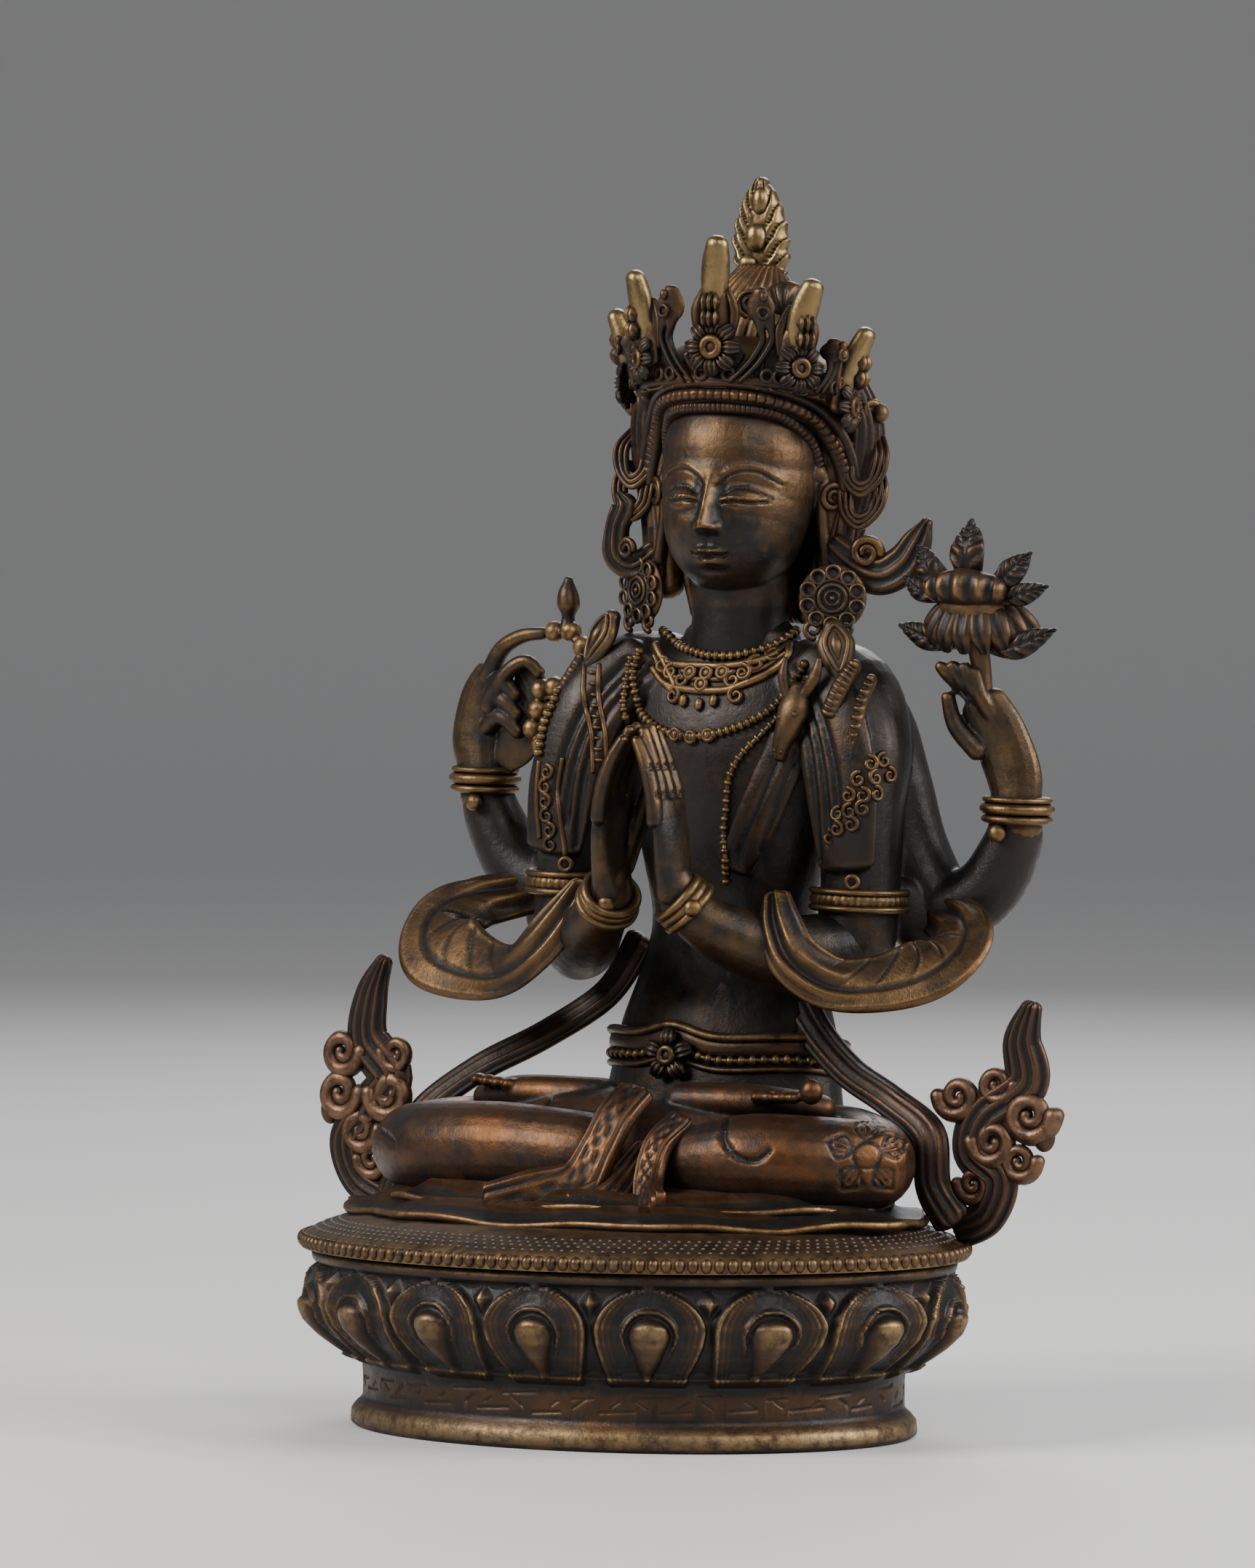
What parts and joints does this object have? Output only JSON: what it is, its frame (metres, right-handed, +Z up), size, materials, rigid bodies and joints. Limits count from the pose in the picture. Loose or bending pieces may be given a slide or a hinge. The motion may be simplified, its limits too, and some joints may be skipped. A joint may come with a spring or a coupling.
{
  "type": "seated avalokiteshvara statue",
  "caption": "Small cast bronze seated four-armed Avalokiteshvara with crown, scarf and joined palms, its seat plate resting on an oval lotus pedestal.",
  "frame": {"origin": "middle of the underside of the pedestal, on the surface it stands on", "axes": "+Z up along the figure, -Y is the way the figure faces, +X is the figure's left hand"},
  "size_m": [0.1389, 0.0884, 0.2041],
  "materials": {
    "figure_bronze": "oxidised dark brown bronze, rubbed to copper and brass on the high points, satin",
    "pedestal_bronze": "near-black oxidised bronze, rubbed to brown and brass on beads and petal bosses, satin"
  },
  "bodies": {
    "root": {"figure_on_seat_plate": "figure_bronze", "lotus_pedestal": "pedestal_bronze"}
  },
  "joints": []
}
